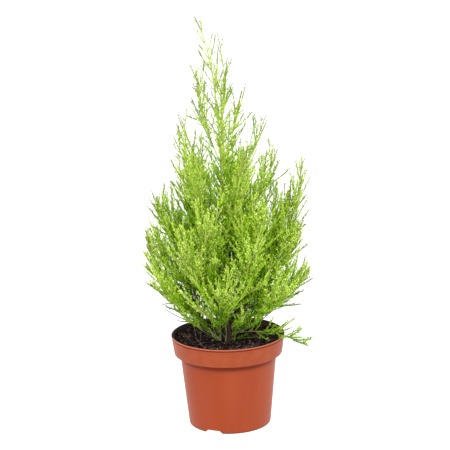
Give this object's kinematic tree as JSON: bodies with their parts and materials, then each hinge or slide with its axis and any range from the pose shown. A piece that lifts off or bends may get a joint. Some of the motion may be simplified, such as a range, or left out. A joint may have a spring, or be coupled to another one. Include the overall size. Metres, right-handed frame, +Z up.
{
  "type": "potted lemon cypress",
  "caption": "Young lemon cypress: a small conifer with a slender leaning tip and feathery upright lime-green sprays, growing from dark soil in a round collared terracotta-coloured pot.",
  "frame": {"origin": "centre of the pot's underside, at the level that it stands on", "axes": "+Z up along the trunk, +X to the right as the picture shows it, +Y away from the viewer"},
  "size_m": [0.1749, 0.1737, 0.4347],
  "materials": {
    "pot": "satin, smooth",
    "soil": "rough, moist peat",
    "bark": "thin red-brown bark",
    "twig": "olive young shoots",
    "foliage": "soft lime-green scale leaves"
  },
  "bodies": {
    "root": {"bough_lower_1": "twig", "bough_lower_2": "twig", "bough_lower_3": "twig", "bough_lower_4": "twig", "bough_lower_5": "twig", "bough_lower_6": "twig", "bough_lower_7": "twig", "bough_rim": "twig", "bough_shoulder": "twig", "bough_skirt_1": "twig", "bough_skirt_2": "twig", "bough_skirt_3": "twig", "bough_skirt_4": "twig", "bough_skirt_5": "twig", "bough_skirt_6": "twig", "bough_skirt_7": "twig", "foliage_high_1": "foliage", "foliage_high_2": "foliage", "foliage_high_3": "foliage", "foliage_high_4": "foliage", "foliage_leader": "foliage", "foliage_lower_1": "foliage", "foliage_lower_2": "foliage", "foliage_lower_3": "foliage", "foliage_lower_4": "foliage", "foliage_lower_5": "foliage", "foliage_lower_6": "foliage", "foliage_lower_7": "foliage", "foliage_middle_1": "foliage", "foliage_middle_2": "foliage", "foliage_middle_3": "foliage", "foliage_middle_4": "foliage", "foliage_middle_5": "foliage", "foliage_middle_6": "foliage", "foliage_rim": "foliage", "foliage_shoulder": "foliage", "foliage_skirt_1": "foliage", "foliage_skirt_2": "foliage", "foliage_skirt_3": "foliage", "foliage_skirt_4": "foliage", "foliage_skirt_5": "foliage", "foliage_skirt_6": "foliage", "foliage_skirt_7": "foliage", "foliage_top_1": "foliage", "foliage_top_2": "foliage", "foliage_top_3": "foliage", "foliage_top_4": "foliage", "foliage_twin": "foliage", "foliage_upper_1": "foliage", "foliage_upper_2": "foliage", "foliage_upper_3": "foliage", "foliage_upper_4": "foliage", "foliage_upper_5": "foliage", "pot": "pot", "soil": "soil", "trunk": "bark"}
  },
  "joints": []
}
